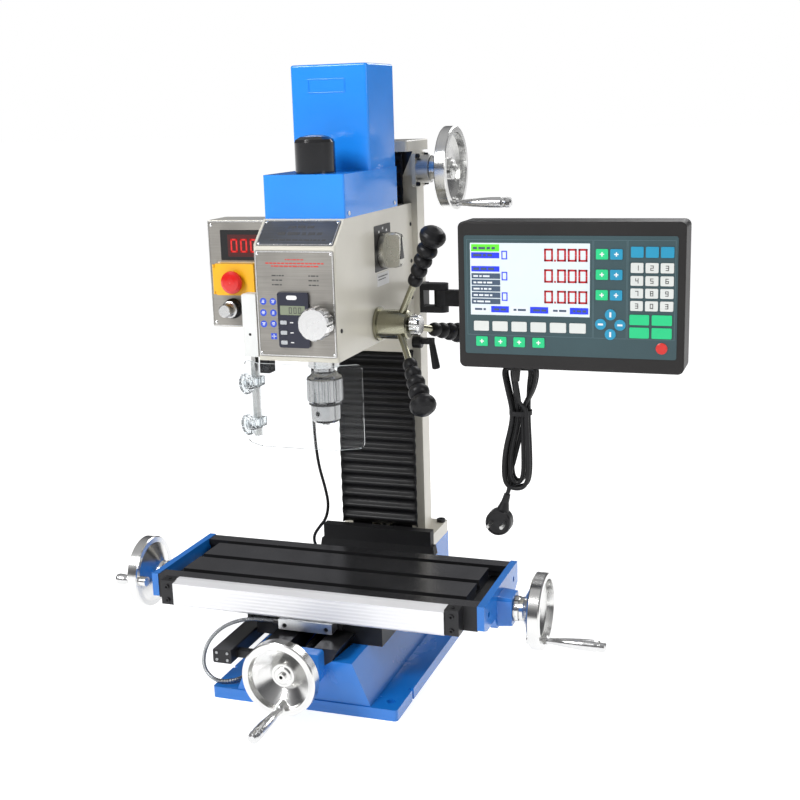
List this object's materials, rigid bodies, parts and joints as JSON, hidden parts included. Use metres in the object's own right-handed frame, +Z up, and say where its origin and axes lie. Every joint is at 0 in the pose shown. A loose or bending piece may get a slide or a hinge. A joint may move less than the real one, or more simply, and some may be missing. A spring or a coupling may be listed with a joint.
{
  "type": "vertical milling machine",
  "caption": "Bench-top vertical milling machine with dovetail column, cross table, drilling quill, swing guard and a digital readout on a swivel arm.",
  "frame": {"origin": "centre of the base bolt holes, on the underside of the base", "axes": "+Z up, -Y towards the operator, +X along the table to the operator's right"},
  "size_m": [0.8343, 0.5863, 0.86],
  "materials": {
    "blue_paint": "gloss",
    "cream_paint": "gloss",
    "ground_iron": "ground",
    "machined_steel": "machined",
    "polished_steel": "polished",
    "scale_aluminium": "anodised",
    "black_anodised": "black anodised",
    "black_rubber": "matt",
    "black_plastic": "matt",
    "black_gloss_plastic": "gloss",
    "console_plastic": "satin",
    "clear_acrylic": "clear",
    "switch_yellow": "gloss",
    "bronze": "machined"
  },
  "bodies": {
    "frame": {"base_casting": "blue_paint", "column": "cream_paint", "bellows_foot": "black_rubber", "lower_bellows": "black_rubber", "upper_bellows": "black_rubber", "feed_bearings": "blue_paint", "frame_fittings": "machined_steel", "cross_scale": "black_anodised", "dro_bracket": "black_anodised", "motor_cable": "black_rubber"},
    "saddle": {"saddle_casting": "black_anodised", "feed_nuts": "bronze", "scale_readers": "black_anodised", "reader_cable": "machined_steel"},
    "table": {"work_table": "ground_iron", "table_end_plates": "blue_paint", "table_scale": "scale_aluminium"},
    "table_screw": {"table_screw": "machined_steel", "table_handwheels": "polished_steel"},
    "table_grip_right": {"table_grip_right": "polished_steel"},
    "table_grip_left": {"table_grip_left": "polished_steel"},
    "cross_screw": {"cross_feed_screw": "machined_steel", "cross_feed_handwheel": "polished_steel"},
    "cross_grip": {"cross_feed_grip": "polished_steel"},
    "elevating_wheel": {"elevating_shaft": "machined_steel", "elevating_handwheel": "polished_steel"},
    "elevating_grip": {"elevating_grip": "polished_steel"},
    "elevating_screw": {"elevating_screw": "machined_steel"},
    "head": {"head_casting": "cream_paint", "elevating_nut": "bronze", "quill_readout": "black_plastic", "drive_cover": "blue_paint", "drawbar_cap": "black_gloss_plastic", "spindle_motor": "black_plastic", "drive_belt": "black_rubber", "control_box": "cream_paint", "guard_mount": "cream_paint"},
    "motor_pulley": {"motor_pulley": "machined_steel"},
    "spindle_pulley": {"spindle_pulley": "machined_steel"},
    "quill": {"quill": "machined_steel"},
    "spindle": {"spindle": "machined_steel", "drill_chuck": "polished_steel"},
    "capstan": {"capstan": "polished_steel", "capstan_grips": "black_rubber"},
    "clutch_knob": {"clutch_knob": "polished_steel"},
    "fine_feed_knob": {"fine_feed_knob": "polished_steel"},
    "range_knob": {"range_knob": "polished_steel"},
    "speed_knob": {"speed_knob": "black_plastic"},
    "switch_lid": {"switch_lid": "switch_yellow"},
    "head_lock_lever": {"head_lock_lever": "black_plastic"},
    "guard": {"guard_shield": "clear_acrylic", "guard_clamps": "clear_acrylic"},
    "readout_button_1": {"readout_button_1": "black_rubber"},
    "readout_button_2": {"readout_button_2": "black_rubber"},
    "readout_button_3": {"readout_button_3": "black_rubber"},
    "dro_arm": {"dro_arm": "black_anodised"},
    "dro_console": {"dro_console": "console_plastic", "dro_lead": "black_rubber", "dro_lead_hank": "black_rubber", "dro_plug": "black_plastic"}
  },
  "joints": [
    {"name": "cross_feed_slide", "type": "slide", "parent": "frame", "child": "saddle", "axis": [0, 1, 0], "range_m": [-0.078, 0.06]},
    {"name": "cross_feed_wheel", "type": "hinge", "parent": "frame", "child": "cross_screw", "pos_m": [0, -0.26, 0.076], "axis": [0, 1, 0], "range_deg": [-9360, 7200]},
    {"name": "table_feed_slide", "type": "slide", "parent": "saddle", "child": "table", "axis": [1, 0, 0], "range_m": [-0.133, 0.147]},
    {"name": "table_feed_wheel", "type": "hinge", "parent": "table", "child": "table_screw", "pos_m": [0, -0.068, 0.1175], "axis": [1, 0, 0], "range_deg": [-15960, 17640]},
    {"name": "elevating_wheel_turn", "type": "hinge", "parent": "frame", "child": "elevating_wheel", "pos_m": [0, 0.135, 0.711], "axis": [1, 0, 0], "range_deg": [-20400, 4200]},
    {"name": "elevating_screw_turn", "type": "hinge", "parent": "frame", "child": "elevating_screw", "pos_m": [0, 0.135, 0.4], "axis": [0, 0, 1], "range_deg": [-20401, 4201]},
    {"name": "head_slide", "type": "slide", "parent": "frame", "child": "head", "axis": [0, 0, 1], "range_m": [-0.17, 0.035], "deforming": ["lower_bellows", "upper_bellows"]},
    {"name": "table_grip_right_spin", "type": "hinge", "parent": "table_screw", "child": "table_grip_right", "pos_m": [0.29, -0.068, 0.0742], "axis": [1, 0, 0], "continuous": true},
    {"name": "table_grip_left_spin", "type": "hinge", "parent": "table_screw", "child": "table_grip_left", "pos_m": [-0.3, -0.1113, 0.1175], "axis": [1, 0, 0], "continuous": true},
    {"name": "cross_grip_spin", "type": "hinge", "parent": "cross_screw", "child": "cross_grip", "pos_m": [0, -0.29, 0.0345], "axis": [0, 1, 0], "continuous": true},
    {"name": "elevating_grip_spin", "type": "hinge", "parent": "elevating_wheel", "child": "elevating_grip", "pos_m": [0.13, 0.135, 0.6605], "axis": [1, 0, 0], "continuous": true},
    {"name": "spindle_spin", "type": "hinge", "parent": "quill", "child": "spindle", "pos_m": [0, -0.089, 0.5], "axis": [0, 0, 1], "continuous": true},
    {"name": "spindle_pulley_spin", "type": "hinge", "parent": "head", "child": "spindle_pulley", "pos_m": [0, -0.089, 0.67], "axis": [0, 0, 1], "continuous": true},
    {"name": "motor_spin", "type": "hinge", "parent": "head", "child": "motor_pulley", "pos_m": [0, 0.0215, 0.68], "axis": [0, 0, 1], "continuous": true},
    {"name": "capstan_turn", "type": "hinge", "parent": "head", "child": "capstan", "pos_m": [0.08, -0.025, 0.505], "axis": [1, 0, 0], "range_deg": [0, 143.2]},
    {"name": "quill_slide", "type": "slide", "parent": "head", "child": "quill", "axis": [0, 0, 1], "range_m": [-0.05, 0], "stiffness_N_per_m": 750, "springref_m": 0.1},
    {"name": "clutch_knob_turn", "type": "hinge", "parent": "capstan", "child": "clutch_knob", "pos_m": [0.11, -0.025, 0.505], "axis": [1, 0, 0], "range_deg": [0, 120]},
    {"name": "fine_feed_turn", "type": "hinge", "parent": "head", "child": "fine_feed_knob", "pos_m": [0.0345, -0.18, 0.532], "axis": [0, 1, 0], "continuous": true},
    {"name": "range_turn", "type": "hinge", "parent": "head", "child": "range_knob", "pos_m": [0.06, 0.005, 0.605], "axis": [1, 0, 0], "range_deg": [-45, 45]},
    {"name": "speed_turn", "type": "hinge", "parent": "head", "child": "speed_knob", "pos_m": [-0.1405, -0.08, 0.53], "axis": [0, 1, 0], "range_deg": [-280, 0]},
    {"name": "switch_lid_swing", "type": "hinge", "parent": "head", "child": "switch_lid", "pos_m": [-0.16, -0.0912, 0.573], "axis": [0, 0, 1], "range_deg": [-100, 0]},
    {"name": "head_lock_swing", "type": "hinge", "parent": "head", "child": "head_lock_lever", "pos_m": [0.06, 0.128, 0.451], "axis": [1, 0, 0], "range_deg": [-60, 60]},
    {"name": "guard_swing", "type": "hinge", "parent": "head", "child": "guard", "pos_m": [-0.068, -0.165, 0.42], "axis": [0, 0, 1], "range_deg": [-110, 0]},
    {"name": "readout_button_1_press", "type": "slide", "parent": "head", "child": "readout_button_1", "axis": [0, 1, 0], "range_m": [0, 0.0012], "stiffness_N_per_m": 300, "springref_m": -0.001},
    {"name": "readout_button_2_press", "type": "slide", "parent": "head", "child": "readout_button_2", "axis": [0, 1, 0], "range_m": [0, 0.0012], "stiffness_N_per_m": 300, "springref_m": -0.001},
    {"name": "readout_button_3_press", "type": "slide", "parent": "head", "child": "readout_button_3", "axis": [0, 1, 0], "range_m": [0, 0.0012], "stiffness_N_per_m": 300, "springref_m": -0.001},
    {"name": "dro_swing", "type": "hinge", "parent": "frame", "child": "dro_arm", "pos_m": [0.097, 0.15, 0.517], "axis": [0, 0, 1], "range_deg": [0, 80]},
    {"name": "dro_tilt", "type": "hinge", "parent": "dro_arm", "child": "dro_console", "pos_m": [0.345, -0.038, 0.517], "axis": [1, 0, 0], "range_deg": [-15, 25]}
  ],
  "couplings": [
    {"joint": "cross_feed_wheel", "follows": "cross_feed_slide", "rad_per_m": 2094.4},
    {"joint": "table_feed_wheel", "follows": "table_feed_slide", "rad_per_m": 2094.4},
    {"joint": "elevating_screw_turn", "follows": "head_slide", "rad_per_m": 2094.4},
    {"joint": "elevating_wheel_turn", "follows": "head_slide", "rad_per_m": 2094.4},
    {"joint": "quill_slide", "follows": "capstan_turn", "m_per_rad": -0.02},
    {"joint": "spindle_pulley_spin", "follows": "spindle_spin", "ratio": 1},
    {"joint": "motor_spin", "follows": "spindle_spin", "ratio": 2.4286}
  ]
}
